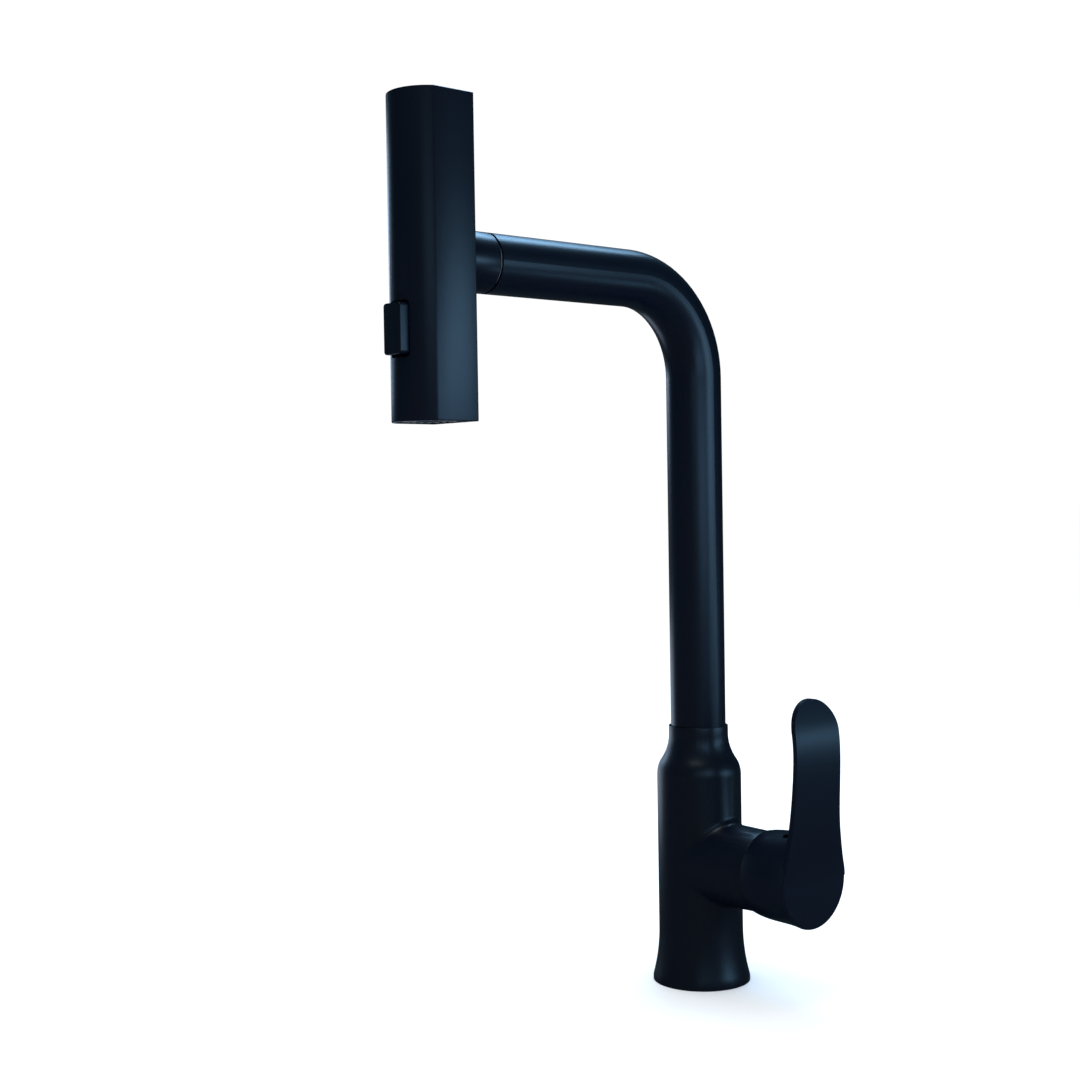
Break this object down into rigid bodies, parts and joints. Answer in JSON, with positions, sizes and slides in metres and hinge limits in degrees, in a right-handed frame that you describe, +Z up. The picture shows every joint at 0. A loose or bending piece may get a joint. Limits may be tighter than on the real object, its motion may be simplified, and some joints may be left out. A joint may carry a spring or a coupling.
{
  "type": "pull-out kitchen mixer tap",
  "caption": "Single-lever kitchen mixer tap with a tall swivelling angled spout and a square-sided pull-out spray head, satin black.",
  "frame": {"origin": "on the body's axis, in the plane of the deck that the base stands on", "axes": "+Z up along the column, the spout and head point along -Y, the lever side is +X"},
  "size_m": [0.1062, 0.2164, 0.5022],
  "materials": {
    "black_metal": "satin black coat",
    "black_plastic": "matte black",
    "brass": "machined",
    "steel": "brushed",
    "rubber": "matte",
    "silicone": "matte grey silicone",
    "ceramic": "lapped white ceramic",
    "white_plastic": "natural acetal",
    "hose_braid": "woven nylon"
  },
  "bodies": {
    "body": {"faucet_body": "black_metal", "base_seal": "rubber", "mounting_shank": "brass", "deck_seal_washer": "rubber", "deck_steel_washer": "steel", "shank_nut": "brass", "thrust_washer": "white_plastic", "spout_grub_screw": "steel", "hose_in_body": "hose_braid", "hose_foot_ferrule": "brass", "cartridge_base": "white_plastic", "cartridge_seals": "rubber", "fixed_ceramic_disc": "ceramic", "cartridge_housing": "white_plastic", "cartridge_nut": "brass", "dome_cover": "black_metal"},
    "spout": {"spout_tube": "black_metal", "spout_foot": "brass", "lower_swivel_bush": "white_plastic", "upper_swivel_bush": "white_plastic", "dock_guide": "white_plastic", "hose_in_spout": "hose_braid"},
    "spray_head": {"head_shell": "black_metal", "head_top_cap": "black_metal", "neck_collar": "black_metal", "neck_lock_nut": "white_plastic", "inlet_nipple": "brass", "check_valve": "white_plastic", "hose_washer": "rubber", "hose_tail": "brass", "hose_crimp_sleeve": "steel", "hose_swivel_nut": "brass", "hose_in_arm": "hose_braid", "water_riser": "white_plastic", "spray_nozzle_mat": "silicone", "spray_face": "black_plastic", "aerator_housing": "black_plastic", "aerator_screen": "silicone", "rocker_bracket": "white_plastic", "rocker_pin": "steel"},
    "rocker": {"rocker_button": "black_plastic"},
    "spool": {"diverter_spool": "white_plastic", "spool_seals": "rubber"},
    "stem_turn": {"stem_holder": "white_plastic", "stem_holder_seal": "rubber", "stem_pivot_pin": "steel"},
    "lever": {"lever_handle": "black_metal", "lever_set_screw": "steel", "cartridge_stem": "brass"},
    "disc": {"moving_ceramic_disc": "ceramic", "disc_carrier": "white_plastic"}
  },
  "joints": [
    {"name": "spout_swivel", "type": "hinge", "parent": "body", "child": "spout", "pos_m": [0, 0, 0.1], "axis": [0, 0, 1], "range_deg": [-180, 180]},
    {"name": "head_pull", "type": "slide", "parent": "spout", "child": "spray_head", "axis": [0, -1, 0], "range_m": [0, 0.075]},
    {"name": "rocker_tilt", "type": "hinge", "parent": "spray_head", "child": "rocker", "pos_m": [0, -0.1796, 0.3236], "axis": [1, 0, 0], "range_deg": [-5, 5]},
    {"name": "spool_slide", "type": "slide", "parent": "spray_head", "child": "spool", "axis": [0, 0, 1], "range_m": [-0.00088, 0.00088]},
    {"name": "lever_turn", "type": "hinge", "parent": "body", "child": "stem_turn", "pos_m": [0.04, 0, 0.062], "axis": [1, 0, 0], "range_deg": [-45, 45]},
    {"name": "lever_lift", "type": "hinge", "parent": "stem_turn", "child": "lever", "pos_m": [0.04, 0, 0.062], "axis": [0, 1, 0], "range_deg": [0, 25]},
    {"name": "disc_shift", "type": "slide", "parent": "stem_turn", "child": "disc", "axis": [0, 0, 1], "range_m": [0, 0.0052]}
  ],
  "couplings": [
    {"joint": "rocker_tilt", "follows": "spool_slide", "rad_per_m": 99},
    {"joint": "disc_shift", "follows": "lever_lift", "m_per_rad": 0.0119}
  ]
}
